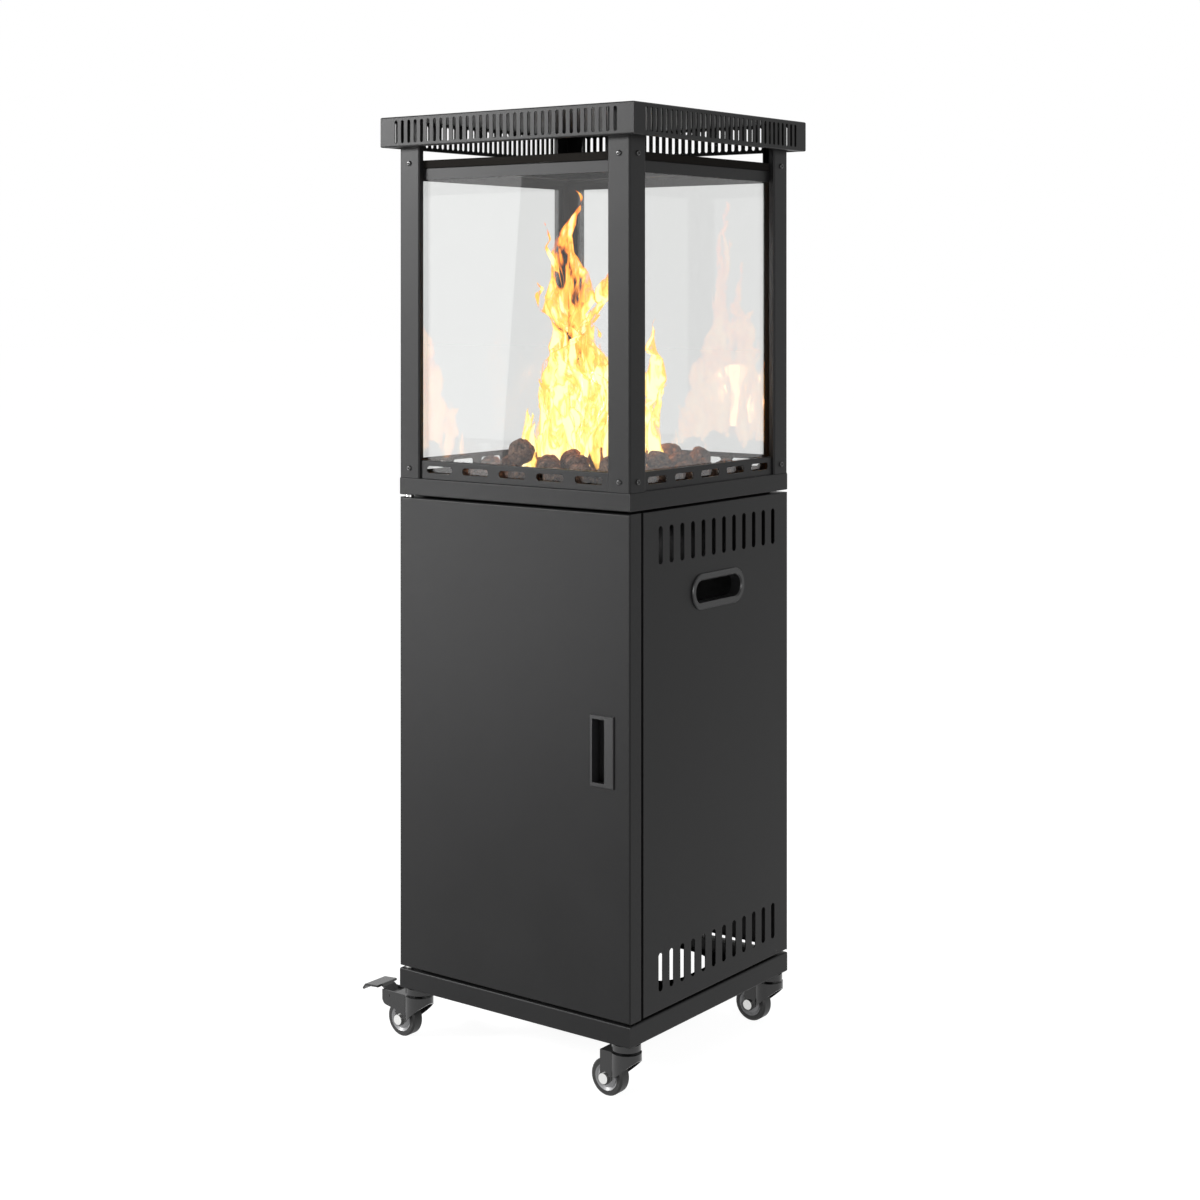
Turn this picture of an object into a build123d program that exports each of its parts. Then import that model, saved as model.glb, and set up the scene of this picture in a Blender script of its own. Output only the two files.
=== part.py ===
from build123d import *
import itertools
import math
import os
import random

# Gas patio heater: a bottle cabinet on four swivel casters, a glass fire chamber above it and a vented hood.
# Millimetres. +Z up, the door faces -Y, Z 0 is the floor.
# Every piece is drawn about the cabinet's own centre line. On export all of them move along X by
# plan_shift, so that the origin lies on the floor under the middle of the overall box.

# Overall plan and stack of heights
cabinet_width = 400.0
cabinet_depth = 400.0
ride_height = 74.0          # floor to the underside of the base tray
skirt_height = 28.4
panel_height = 667.8
shadow_gap = 3.3            # dark line above and below the door and panels
collar_height = 24.5
chamber_height = 510.6      # collar top to the underside of the hood roof
hood_overhang = 19.55
hood_height = 43.0

# Sheet stock
sheet = 1.5
thin_sheet = 1.2
post_sheet = 2.0
bend = 2.2                  # outside radius of a folded edge
tight_bend = 1.8

# Clearances
seat = 0.3                  # pieces laid against each other with a paint gap
running = 0.05              # radial clearance of a shaft in its hole
wheel_side_gap = 1.2

# Base tray
return_flange = 22.0
vent_width = 196.0
vent_depth = 160.0
vent_corner = 60.0
vent_centre_y = 110.0

# Cabinet panels
panel_flange = 22.0
door_depth = 26.8
door_side_gap = 4.0
door_back_flange = 12.0
side_vents = 12
side_vent_pitch = 26.2
side_vent_width = 9.6
side_vent_length = 51.0
side_vent_centre_y = 15.3
lower_vent_rise = 51.4      # panel bottom to the middle of the lower vents
upper_vent_drop = 46.5      # panel top to the middle of the upper vents

# Door furniture
pivot_inset = 10.0
pivot_radius = 3.0
pivot_shoulder_radius = 6.0
pull_width = 38.0
pull_height = 95.5
pull_centre_x = 155.4
pull_rise = 352.4           # door bottom to the middle of the pull
pull_proud = 2.5
pull_mouth_width = 20.0
pull_mouth_height = 84.5
pull_mouth_inset = 3.7
pull_cup_depth = 17.0
pull_cup_inset = 1.5
pull_wall = 2.0
catch_inset = 60.0
catch_rise = 24.0
magnet_height = 40.0
magnet_width = 16.0
magnet_depth = 12.0
strike_size = 34.0

# Carry handles
handle_length = 132.5
handle_height = 49.0
handle_mouth_length = 115.0
handle_mouth_height = 30.5
handle_centre_y = 12.0
handle_drop = 119.7         # panel top to the middle of the handle
handle_proud = 3.0
handle_depth = 14.0
handle_wall = 2.0

# Fire tray, burner and rocks
tray_opening = 330.0
tray_flange = 14.0
tray_depth = 11.0
burner_radius = 74.0
burner_height = 16.0
burner_ports = 12
feed_radius = 9.0
probe_angle = 130.0
probe_reach = 82.0
rock_rows = 6
rock_pitch = 53.0
rock_size = 23.2
rock_spread = 1.8
rock_scatter = 1.4
rock_flat = 0.8
rock_narrow = 0.9
rock_heap = 2.9
rock_heap_share = 0.92
rock_seed = 11
rock_settling = 60

# Fire chamber
post_flange = 36.5
post_lip = 8.7
sill_height = 25.7
sill_setback = 4.0
sill_foot = 5.0
sill_slots = 5
sill_slot_pitch = 65.0
sill_slot_length = 46.0
sill_slot_width = 10.0
sill_slot_rise = 13.2
rail_setback = 9.0
rail_height = 16.5
rail_flange = 26.0
rail_rise = 423.2           # collar top to the underside of the head rail
ceiling_height = 11.0
flue_size = 190.0
flue_corner = 20.0
glass_thickness = 4.0
glass_width = 352.0
glass_cover = 11.0          # how far the glass reaches up behind the head rail
bead_leg = 16.0
screw_inset = 17.7
lower_screw_rise = 13.7
upper_screw_rise = 446.7
screw_head_radius = 3.8
screw_head_height = 2.2
bracket_leg = 22.0
bracket_height = 24.0

# Hood
hood_lip = 8.0
hood_slots = 33
hood_slot_pitch = 11.88
hood_slot_width = 5.6
hood_slot_length = 32.5
hood_slot_rise = 21.4

# Casters
caster_inset = 19.5
caster_trail = 26.0
wheel_radius = 25.0
wheel_width = 22.0
tyre_section = 7.5
tyre_shoulder = 2.5
axle_radius = 4.0
axle_cap_radius = 7.0
axle_cap_height = 3.2
race_radius = 19.5
race_height = 8.5
fork_drop = 12.0            # underside of the base tray to the top of the fork crown
fork_sheet = 2.0
fork_crown_radius = 20.5
fork_back = 33.0
fork_boss_radius = 9.0
fork_front_drop = 8.6
stem_radius = 5.0
rivet_radius = 8.0
rivet_height = 2.8
nut_flats = 17.0
nut_height = 8.0
pedal_width = 42.0
pedal_thickness = 2.8
pedal_reach = 90.0
pedal_pin_radius = 2.0
pedal_pin_back = 46.0
pedal_pin_drop = 19.0
brake_ear_back = 58.0
brake_ear_drop = 20.0

# Gas train behind the door
fascia_height = 64.0
fascia_setback = 3.0
fascia_shelf = 30.0
fascia_foot = 18.0
knob_radius = 17.0
knob_length = 16.0
knob_x = 0.0
knob_skirt = 3.0
knob_taper = 1.0
grip_width = 6.0
grip_height = 2.5
knob_travel = 4.0
knob_standoff = 5.0
spindle_radius = 4.0
spindle_hold = 8.0
spindle_grip = 9.0
button_radius = 9.5
button_hold = 9.0
button_edge = 3.0
button_dome = 1.0
button_gap = 0.5
button_rim = 2.0
barrel_length = 34.0
barrel_bore = 16.0
barrel_flange = 3.0
button_travel = 5.0
button_x = 60.0
control_drop = 36.0
valve_width = 46.0
valve_height = 30.0
valve_depth = 34.0
pipe_radius = 4.0
pipe_bend = 14.0
tube_rise = 17.0            # control height to the bottom of the mixing tube
tube_wall = 2.0
tube_seat = 3.0
inlet_radius = 5.0
inlet_length = 16.0
inlet_collar_radius = 8.0
inlet_nut = 5.0

# Levels and outlines worked out from the sizes above
base_bottom = ride_height
base_top = base_bottom + skirt_height
panel_bottom = base_top + shadow_gap
panel_top = panel_bottom + panel_height
collar_bottom = panel_top + shadow_gap
collar_top = collar_bottom + collar_height
roof_under = collar_top + chamber_height
roof_top = roof_under + sheet
hood_bottom = roof_top - hood_height
hood_half_x = cabinet_width / 2 + hood_overhang
hood_half_y = cabinet_depth / 2 + hood_overhang
half_x = cabinet_width / 2
half_y = cabinet_depth / 2
axle_height = wheel_radius
caster_x = half_x - caster_inset
caster_y = half_y - caster_inset
plan_shift = (caster_x + pedal_reach - hood_half_x) / 2
side_front_y = -half_y + door_depth + door_side_gap
side_back_y = half_y - thin_sheet
control_z = panel_top - control_drop
pivot_x = -half_x + pivot_inset
pivot_y = -half_y + pivot_inset
rail_bottom = collar_top + rail_rise
rail_top = rail_bottom + rail_height
ceiling_top = rail_top + ceiling_height
glass_face = half_y - rail_setback - sheet - seat
glass_back = glass_face - glass_thickness
tray_half = tray_opening / 2
tray_floor = collar_top + thin_sheet - tray_depth

pieces = {}


def folded(points, thickness, radius=bend):
    """Section of a folded sheet: the outline of its outer skin, thickened towards the left-hand side."""
    path = [Vector(*point) for point in points]
    ways = [(end - start).normalized() for start, end in zip(path, path[1:])]
    lefts = [Vector(-way.Y, way.X) for way in ways]
    inner = [path[0] + lefts[0] * thickness]
    for corner, before, after in zip(path[1:], lefts, lefts[1:]):
        inner.append(corner + (before + after) * (thickness / (1 + before.dot(after))))
    inner.append(path[-1] + lefts[-1] * thickness)
    section = make_face(Polyline(*path, *reversed(inner), close=True).edges())
    for outer_corner, inner_corner, before, after in zip(path[1:-1], inner[1:-1], ways, ways[1:]):
        left_turn = before.cross(after).Z > 0
        for corner, is_outer in ((outer_corner, left_turn), (inner_corner, not left_turn)):
            vertex = section.vertices().sort_by_distance(corner)[0]
            section = fillet(vertex, radius if is_outer else radius - thickness)
    return section


def framed(points, thickness, x, y, z, radius=bend):
    """A folded section on all four sides of a rectangle of half sizes x and y, mitred at the corners."""
    section = folded(points, thickness, radius)
    inward = section.bounding_box().max.X
    low = section.bounding_box().min.Y
    high = section.bounding_box().max.Y
    frame = None
    for turn in range(4):
        reach, run = (x, y) if turn % 2 == 0 else (y, x)
        strip = extrude(Plane((reach, -run, z), x_dir=(-1, 0, 0), z_dir=(0, 1, 0)) * section, 2 * run)
        mitre = Polyline((reach, -run), (reach, run), (reach - inward, run - inward),
                         (reach - inward, inward - run), close=True)
        wedge = Pos(0, 0, z + low) * extrude(make_face(mitre.edges()), high - low)
        side = Rot(0, 0, 90 * turn) * (strip & wedge)
        frame = side if frame is None else frame + side
    return frame


def slot_face(length, width):
    """A punched slot with clipped corners at both ends, its length along the second axis."""
    return chamfer(Rectangle(width, length).vertices(), width * 0.29)


def span_box(low, high):
    """A plain block from its lowest to its highest corner."""
    size = [b - a for a, b in zip(low, high)]
    return Pos(*low) * Box(*size, align=(Align.MIN, Align.MIN, Align.MIN))


upright = Plane((0, 0, 0), x_dir=(1, 0, 0), z_dir=(0, -1, 0))


def turned(points):
    """A round piece: an outline of (radius, height) points spun about the vertical axis."""
    return revolve(upright * make_face(Polyline(*points, close=True).edges()), Axis.Z, 360)


def quarter_turns(piece):
    """The piece and its three copies round the centre line."""
    return [Rot(0, 0, 90 * turn) * piece for turn in range(4)]


# Base tray: floor, skirt and a return flange folded from one sheet, with a large floor vent at the back
def base_tray():
    floor_half = half_x - sheet
    skirt = framed(
        [(return_flange, skirt_height), (0, skirt_height), (0, 0), (return_flange, 0)],
        sheet, half_x, half_y, base_bottom,
    )
    skirt_floor = span_box(
        (-floor_half + bend, -floor_half + bend, base_bottom),
        (floor_half - bend, floor_half - bend, base_bottom + sheet),
    )
    opening = RectangleRounded(vent_width, vent_depth, vent_corner)
    tray = skirt + skirt_floor
    tray -= Pos(0, vent_centre_y, base_bottom - 1) * extrude(opening, sheet + 2)
    for x in (-caster_x, caster_x):
        for y in (-caster_y, caster_y):
            tray -= Pos(x, y, base_bottom) * Cylinder(stem_radius + running, 4 * sheet)
    tray -= Pos(pivot_x, pivot_y, base_top) * Cylinder(pivot_radius + running, 4 * sheet)
    return tray


pieces["base_tray"] = base_tray()


# Side panels: folded sheet with vents at the top and bottom and a stadium cut-out for the carry handle
def side_panel():
    start = Plane((half_x, side_front_y, panel_bottom), x_dir=(-1, 0, 0), z_dir=(0, 1, 0))
    turn_in = [(panel_flange, panel_height), (0, panel_height), (0, 0), (panel_flange, 0)]
    section = folded(turn_in, thin_sheet)
    panel = extrude(start * section, side_back_y - side_front_y)
    front_return = span_box(
        (half_x - panel_flange, side_front_y, panel_bottom + thin_sheet),
        (half_x - thin_sheet, side_front_y + thin_sheet, panel_top - thin_sheet),
    )
    back_return = Pos(0, side_back_y - side_front_y - thin_sheet, 0) * front_return
    foot = span_box(
        (half_x - panel_flange, side_front_y + bend, base_top),
        (half_x - panel_flange + thin_sheet, side_back_y, panel_bottom + thin_sheet),
    )
    panel += [front_return, back_return, foot]
    vent = extrude(slot_face(side_vent_length, side_vent_width), 4 * thin_sheet, both=True)
    face = Plane((half_x, 0, 0), x_dir=(0, 1, 0), z_dir=(1, 0, 0))
    for level in (panel_bottom + lower_vent_rise, panel_top - upper_vent_drop):
        for count in range(side_vents):
            y = side_vent_centre_y + (count - (side_vents - 1) / 2) * side_vent_pitch
            panel -= face * Pos(y, level, 0) * vent
    mouth = SlotOverall(handle_mouth_length + 2 * handle_wall + 2 * seat,
                        handle_mouth_height + 2 * handle_wall + 2 * seat)
    window = extrude(mouth, 4 * thin_sheet, both=True)
    panel -= face * Pos(handle_centre_y, panel_top - handle_drop, 0) * window
    return panel


pieces["right_side_panel"] = side_panel()
pieces["left_side_panel"] = mirror(side_panel(), about=Plane.YZ)


# Carry handle: a stadium bezel on the outside of the panel with a sleeve through it
def carry_handle():
    bezel = extrude(SlotOverall(handle_length, handle_height), handle_proud)
    bezel = chamfer(bezel.faces().sort_by(Axis.Z)[-1].edges(), handle_proud * 0.4)
    sleeve = SlotOverall(handle_mouth_length + 2 * handle_wall, handle_mouth_height + 2 * handle_wall)
    bezel += Pos(0, 0, -handle_depth) * extrude(sleeve, handle_depth)
    bezel -= Pos(0, 0, -handle_depth) * extrude(
        SlotOverall(handle_mouth_length, handle_mouth_height), handle_depth + handle_proud)
    rim = bezel.faces().filter_by(GeomType.PLANE).sort_by(Axis.Z)[-1]
    bezel = chamfer(rim.inner_wires()[0].edges(), handle_proud * 0.6)
    face = Plane((half_x, 0, 0), x_dir=(0, 1, 0), z_dir=(1, 0, 0))
    return face * Pos(handle_centre_y, panel_top - handle_drop, 0) * bezel


pieces["right_carry_handle"] = carry_handle()
pieces["left_carry_handle"] = mirror(carry_handle(), about=Plane.YZ)


# Rear panel: a plain sheet over the back returns of the side panels
def rear_panel():
    skin = span_box((-half_x, side_back_y, panel_bottom), (half_x, half_y, panel_top))
    return fillet(skin.edges().filter_by(Axis.Z).group_by(Axis.Y)[-1], thin_sheet * 0.8)


pieces["rear_panel"] = rear_panel()


# Door: a folded pan hung on two pivot pins at its left edge
def door_panel():
    pan = framed([(door_back_flange, door_depth), (0, door_depth), (0, 0), (4 * bend, 0)],
                 thin_sheet, half_x, panel_height / 2, 0)
    skin = span_box((-half_x + 3 * bend, -panel_height / 2 + 3 * bend, 0),
                    (half_x - 3 * bend, panel_height / 2 - 3 * bend, thin_sheet))
    front = Plane((0, -half_y, panel_bottom + panel_height / 2), x_dir=(-1, 0, 0), z_dir=(0, 1, 0))
    door = front * (pan + skin)
    pull = Pos(pull_centre_x, -half_y, panel_bottom + pull_rise)
    door -= pull * Box(pull_width - 2 * pull_cup_inset + 2 * seat, 8 * thin_sheet,
                       pull_height - 2 * pull_cup_inset + 2 * seat)
    for z in (panel_bottom, panel_top):
        door -= Pos(pivot_x, pivot_y, z) * Cylinder(pivot_radius + running, 4 * thin_sheet)
    return door


pieces["door_panel"] = door_panel()


# Flush pull: a moulded cup behind a raised frame, open on its left and lipped on its right
def door_pull():
    frame = span_box((-pull_width / 2, -pull_proud, -pull_height / 2), (pull_width / 2, 0, pull_height / 2))
    frame = chamfer(frame.faces().sort_by(Axis.Y)[0].edges(), 0.8)
    cup_half = pull_width / 2 - pull_cup_inset
    cup_high = pull_height / 2 - pull_cup_inset
    cup = span_box((-cup_half, -pull_proud / 2, -cup_high), (cup_half, pull_cup_depth, cup_high))
    cup = fillet(cup.faces().sort_by(Axis.Y)[-1].edges(), 3 * pull_wall)
    inner = span_box((-cup_half + pull_wall, 0, -cup_high + pull_wall),
                     (cup_half - pull_wall, pull_cup_depth - pull_wall, cup_high - pull_wall))
    left = -pull_width / 2 + pull_mouth_inset
    mouth = span_box((left, -pull_proud - 1, -pull_mouth_height / 2),
                     (left + pull_mouth_width, pull_wall, pull_mouth_height / 2))
    return Pos(pull_centre_x, -half_y, panel_bottom + pull_rise) * (frame + cup - inner - mouth)


pieces["door_pull"] = door_pull()


# Pivot pins: each passes through the door's return and turns in the flange beyond it
def pivot_pins():
    reach = shadow_gap + sheet + 4
    hold = thin_sheet + 3
    outline = [(0, -hold), (pivot_radius, -hold), (pivot_radius, 0), (pivot_shoulder_radius, 0),
               (pivot_shoulder_radius, shadow_gap - seat), (pivot_radius, shadow_gap - seat),
               (pivot_radius, reach), (0, reach)]
    pin = turned(outline)
    lower = Pos(pivot_x, pivot_y, panel_bottom) * Rot(180, 0, 0) * pin
    upper = Pos(pivot_x, pivot_y, panel_top) * pin
    return Compound([lower, upper])


pieces["door_pivot_pins"] = pivot_pins()


# Control fascia: the folded rail across the top of the bottle bay that carries the controls and the catch
fascia_y = side_front_y + thin_sheet + fascia_setback
fascia_half = half_x - bend - seat
fascia_bottom = panel_top - thin_sheet - fascia_height


def control_fascia():
    start = Plane((-fascia_half, fascia_y, fascia_bottom), x_dir=(0, 1, 0), z_dir=(1, 0, 0))
    outline = [(fascia_shelf, fascia_height), (0, fascia_height), (0, 0), (fascia_foot, 0)]
    section = folded(outline, thin_sheet)
    rail = extrude(start * section, 2 * fascia_half)
    for x, radius in ((knob_x, spindle_radius + running), (button_x, button_radius - button_rim + running)):
        rail -= Pos(x, fascia_y, control_z) * Rot(90, 0, 0) * Cylinder(radius, 6 * thin_sheet)
    return rail


pieces["control_fascia"] = control_fascia()


# Door catch: a magnet block on the fascia and a strike plate inside the door
catch_x = half_x - catch_inset
catch_z = fascia_bottom + catch_rise


def door_magnet():
    body = span_box((catch_x - magnet_width / 2, fascia_y - magnet_depth, catch_z - magnet_height / 2),
                    (catch_x + magnet_width / 2, fascia_y, catch_z + magnet_height / 2))
    return chamfer(body.edges().filter_by(Axis.Z).group_by(Axis.Y)[0], 2)


def strike_plate():
    front = fascia_y - magnet_depth - seat
    plate = span_box((catch_x - strike_size / 2, front - 2, catch_z - strike_size / 2),
                     (catch_x + strike_size / 2, front, catch_z + strike_size / 2))
    stalk = span_box((catch_x - 5, -half_y + thin_sheet, catch_z - 5),
                     (catch_x + 5, front - 2, catch_z + 5))
    return plate + stalk


pieces["door_magnet"] = door_magnet()
pieces["door_strike_plate"] = strike_plate()


# Gas valve behind the fascia with its control knob, and the push igniter beside it
def gas_valve():
    back = fascia_y + thin_sheet
    body = span_box((knob_x - valve_width / 2, back, control_z - valve_height / 2),
                    (knob_x + valve_width / 2, back + valve_depth, control_z + valve_height / 2))
    body = chamfer(body.edges().filter_by(Axis.Y), 5)
    bore = Cylinder(spindle_radius + running, spindle_hold + knob_travel + 1,
                    align=(Align.CENTER, Align.CENTER, Align.MIN))
    return body - Pos(knob_x, back, control_z) * Rot(-90, 0, 0) * bore


def valve_spindle():
    length = spindle_hold + thin_sheet + knob_standoff + spindle_grip
    rod = Cylinder(spindle_radius, length, align=(Align.CENTER, Align.CENTER, Align.MIN))
    return Pos(knob_x, fascia_y + thin_sheet + spindle_hold, control_z) * Rot(90, 0, 0) * rod


def control_knob():
    shank = knob_radius - knob_skirt
    outline = [(0, 0), (knob_radius, 0), (knob_radius, knob_skirt), (shank, knob_skirt),
               (shank - knob_taper, knob_length), (0, knob_length)]
    knob = turned(outline)
    grip = Pos(0, 0, knob_length) * Box(grip_width, 2 * (shank - knob_taper) - 1, 2 * grip_height)
    socket = Cylinder(spindle_radius + running, spindle_grip + running,
                      align=(Align.CENTER, Align.CENTER, Align.MIN))
    return Pos(knob_x, fascia_y - knob_standoff, control_z) * Rot(90, 0, 0) * (knob + grip - socket)


def igniter_barrel():
    outer = button_radius - button_rim
    bore = outer - 1
    barrel = turned([(outer, -barrel_length), (outer, 0), (outer + 4, 0), (outer + 4, barrel_flange),
                     (bore, barrel_flange), (bore, -barrel_bore), (0, -barrel_bore), (0, -barrel_length)])
    return Pos(button_x, fascia_y, control_z) * Rot(90, 0, 0) * barrel


def igniter_button():
    stalk = button_radius - button_rim - 1 - running
    under = barrel_flange + button_travel + button_gap
    edge = under + button_edge
    top = edge + button_dome
    rim = button_radius - 1
    cap = turned([(0, -button_hold), (stalk, -button_hold), (stalk, under), (rim, under),
                  (rim, edge), (rim - button_dome, top), (0, top)])
    return Pos(button_x, fascia_y, control_z) * Rot(90, 0, 0) * cap


pieces["gas_valve"] = gas_valve()
pieces["valve_spindle"] = valve_spindle()
pieces["control_knob"] = control_knob()
pieces["igniter_barrel"] = igniter_barrel()
pieces["igniter_button"] = igniter_button()


# Collar: the band between cabinet and fire chamber, joggled to stand on the panels and flanged for the tray
deck_half = tray_half + bend + seat


def collar():
    foot = panel_flange - 4
    band = framed(
        [(half_x - deck_half, collar_height), (0, collar_height), (0, 0), (foot, 0), (foot, -shadow_gap)],
        sheet, half_x, half_y, collar_bottom, radius=1.6,
    )
    bore = Pos(pivot_x, pivot_y, collar_bottom) * Cylinder(pivot_radius + running, 4 * sheet)
    door_way = span_box((-half_x, -half_y, panel_top - 1), (half_x, side_front_y, collar_bottom))
    inner = half_x - post_sheet
    leg = [(inner, inner - bracket_leg), (inner, inner), (inner - bracket_leg, inner)]
    bracket = Pos(0, 0, collar_top) * extrude(folded(leg, post_sheet, post_sheet + 0.5), bracket_height)
    return band - bore - door_way + quarter_turns(bracket)


pieces["collar"] = collar()


# Fire tray: a shallow drop-in pan that holds the burner and the lava rocks
def fire_tray():
    rim_half = tray_half + tray_flange
    outline = [(tray_flange + 4 * bend, -tray_depth), (tray_flange, -tray_depth), (tray_flange, 0), (0, 0)]
    rim = framed(outline, thin_sheet, rim_half, rim_half, collar_top + thin_sheet)
    floor_half = tray_half - 3 * bend
    pan = span_box((-floor_half, -floor_half, tray_floor - thin_sheet), (floor_half, floor_half, tray_floor))
    pan -= Pos(0, 0, tray_floor) * Cylinder(feed_radius + seat, 6 * thin_sheet)
    return rim + pan


pieces["fire_tray"] = fire_tray()


# Burner: a round drum with radial ports, its venturi tube through the tray and the pipe from the valve
def burner():
    top = tray_floor + burner_height
    drum = turned([(0, tray_floor), (burner_radius - 6, tray_floor), (burner_radius, tray_floor + 6),
                   (burner_radius, top - 3), (burner_radius - 3, top), (0, top)])
    port = Pos(burner_radius - 14, 0, top) * Box(16, 2.4, 4)
    return drum - [Rot(0, 0, 360 / burner_ports * count) * port for count in range(burner_ports)]


def mixing_tube():
    low = control_z + tube_rise
    bore = feed_radius - tube_wall
    socket = pipe_radius + running
    tube = turned([(socket, low), (feed_radius, low), (feed_radius, tray_floor), (bore, tray_floor),
                   (bore, low + tube_seat), (socket, low + tube_seat)])
    return tube - Pos(0, 0, low + tube_seat + 6) * Box(4 * feed_radius, 7, 8)


def feed_pipe():
    start = (knob_x, fascia_y + thin_sheet + valve_depth, control_z)
    run = FilletPolyline(start, (knob_x, 0, control_z), (knob_x, 0, control_z + tube_rise + tube_seat),
                         radius=pipe_bend)
    ring = Plane(start, z_dir=(0, 1, 0)) * Circle(pipe_radius)
    return sweep(ring, path=Wire(run.edges()))


pieces["burner"] = burner()
pieces["mixing_tube"] = mixing_tube()
pieces["feed_pipe"] = feed_pipe()


# Gas inlet: the hose spigot and hexagon nut on the left end of the valve
def gas_inlet():
    spigot = turned([(inlet_radius - 2, 0), (inlet_radius, 0), (inlet_radius, inlet_length),
                     (inlet_radius - 2, inlet_length)])
    nut = extrude(RegularPolygon(inlet_collar_radius, 6), inlet_nut)
    nut -= Cylinder(inlet_radius - 1, 4 * inlet_nut)
    valve_end = Pos(knob_x - valve_width / 2, fascia_y + thin_sheet + valve_depth / 2, control_z)
    return valve_end * Rot(0, -90, 0) * (spigot + nut)


pieces["gas_inlet"] = gas_inlet()


# Ignition electrode and flame sensor, upright at the burner's edge
def probe(angle, radius, height):
    foot = turned([(0, tray_floor), (radius + 3, tray_floor), (radius + 3, tray_floor + 10),
                   (radius, tray_floor + 10), (radius, tray_floor + height), (0, tray_floor + height)])
    return Rot(0, 0, angle) * Pos(probe_reach, 0, 0) * foot


pieces["ignition_electrode"] = probe(probe_angle, 1.6, 34)
pieces["flame_sensor"] = probe(probe_angle + 20, 2.4, 30)


# Lava rocks: lumpy stones let down one after another until each rests on the bed or on earlier stones
def stone_facets():
    """Corners of a twenty-sided ball of radius 1, and the three corners of each of its sides."""
    golden = (1 + math.sqrt(5)) / 2
    corners = []
    for a in (-1, 1):
        for b in (-golden, golden):
            corners += [Vector(0, a, b), Vector(a, b, 0), Vector(b, 0, a)]
    trios = [trio for trio in itertools.combinations(range(12), 3)
             if all((corners[p] - corners[q]).length < 2.1 for p, q in itertools.combinations(trio, 2))]
    return [corner.normalized() for corner in corners], trios


ball_corners, ball_trios = stone_facets()


def stone(radius, chance):
    """A rounded, slightly flattened stone with an uneven surface, turned to a random heading."""
    points = []
    for corner in ball_corners:
        reach = radius * chance.uniform(0.84, 1)
        squashed = Vector(corner.X, corner.Y * rock_narrow, corner.Z * rock_flat)
        points.append(squashed * reach)
    sides = [Face(Wire.make_polygon([points[i] for i in trio], close=True)) for trio in ball_trios]
    turn = Rot(chance.uniform(-20, 20), chance.uniform(-20, 20), chance.uniform(0, 360))
    return turn * Solid(Shell(sides))


def resting_height(x, y, radius, laid):
    """Lowest height of a stone's middle at which its ball clears the bed and the balls of earlier stones."""
    height = tray_floor + radius
    if math.hypot(x, y) < burner_radius + radius:
        height += burner_height
    for other_x, other_y, other_z, other_radius, _ in laid:
        apart = math.hypot(x - other_x, y - other_y)
        if apart < radius + other_radius:
            height = max(height, other_z + math.sqrt((radius + other_radius) ** 2 - apart ** 2))
    return height


def let_down(rock, supports):
    """Lower a stone by its free distance again and again until it lies a hair above its support."""
    lowered = 0.0
    for _ in range(rock_settling):
        free = rock.bounding_box().min.Z - tray_floor
        free = min([free] + [rock.distance_to(other) for other in supports])
        if free < 1.8 * seat:
            break
        rock = Pos(0, 0, seat - free) * rock
        lowered += free - seat
    return rock, lowered


def lava_rocks(drum):
    chance = random.Random(rock_seed)
    laid = []
    grid = [(row - (rock_rows - 1) / 2, column - (rock_rows - 1) / 2)
            for row in range(rock_rows) for column in range(rock_rows)]
    places = grid + [(x + 0.5, y + 0.5) for x, y in grid
                     if math.hypot(x + 0.5, y + 0.5) < rock_heap and chance.random() < rock_heap_share]
    for column, row in places:
        radius = rock_size + chance.uniform(-rock_spread, rock_spread)
        x = column * rock_pitch + chance.uniform(-1, 1) * rock_scatter
        y = row * rock_pitch + chance.uniform(-1, 1) * rock_scatter
        keep_away = radius + rock_scatter
        if any(math.hypot(x - probe_x, y - probe_y) < keep_away for probe_x, probe_y in probe_places):
            continue
        z = resting_height(x, y, radius, laid)
        near = [rock for other_x, other_y, _, reach, rock in laid
                if math.hypot(x - other_x, y - other_y) < radius + reach + seat]
        if math.hypot(x, y) < burner_radius + radius:
            near.append(drum)
        rock, lowered = let_down(Pos(x, y, z + seat) * stone(radius, chance), near)
        laid.append((x, y, z + seat - lowered, radius, rock))
    return Compound([rock for _, _, _, _, rock in laid])


probe_places = [(probe_reach * math.cos(math.radians(angle)), probe_reach * math.sin(math.radians(angle)))
                for angle in (probe_angle, probe_angle + 20)]
pieces["lava_rocks"] = lava_rocks(pieces["burner"])


# Corner posts: folded angles with inward lips, standing on the collar and carrying the hood
def corner_post():
    outline = [(half_x - post_flange, -half_y + post_lip), (half_x - post_flange, -half_y),
               (half_x, -half_y), (half_x, -half_y + post_flange),
               (half_x - post_lip, -half_y + post_flange)]
    section = folded(outline, post_sheet, radius=post_sheet + 0.6)
    return Pos(0, 0, collar_top) * extrude(section, roof_under - collar_top)


post_names = ["front_right_post", "back_right_post", "back_left_post", "front_left_post"]
for name, post in zip(post_names, quarter_turns(corner_post())):
    pieces[name] = post


# Slotted sills between the posts: a folded strip with five air slots in each
def sill():
    half = half_x - post_flange - seat
    start = Plane((-half, -half_y + sill_setback, collar_top), x_dir=(0, 1, 0), z_dir=(1, 0, 0))
    section = folded([(sill_foot, sill_height), (0, sill_height), (0, 0)], sheet, tight_bend)
    strip = extrude(start * section, 2 * half)
    slot = extrude(Rot(0, 0, 90) * slot_face(sill_slot_length, sill_slot_width), 4 * sheet, both=True)
    face = Plane((0, -half_y + sill_setback, 0), x_dir=(1, 0, 0), z_dir=(0, -1, 0))
    for count in range(sill_slots):
        x = (count - (sill_slots - 1) / 2) * sill_slot_pitch
        strip -= face * Pos(x, collar_top + sill_slot_rise, 0) * slot
    return strip


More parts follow.
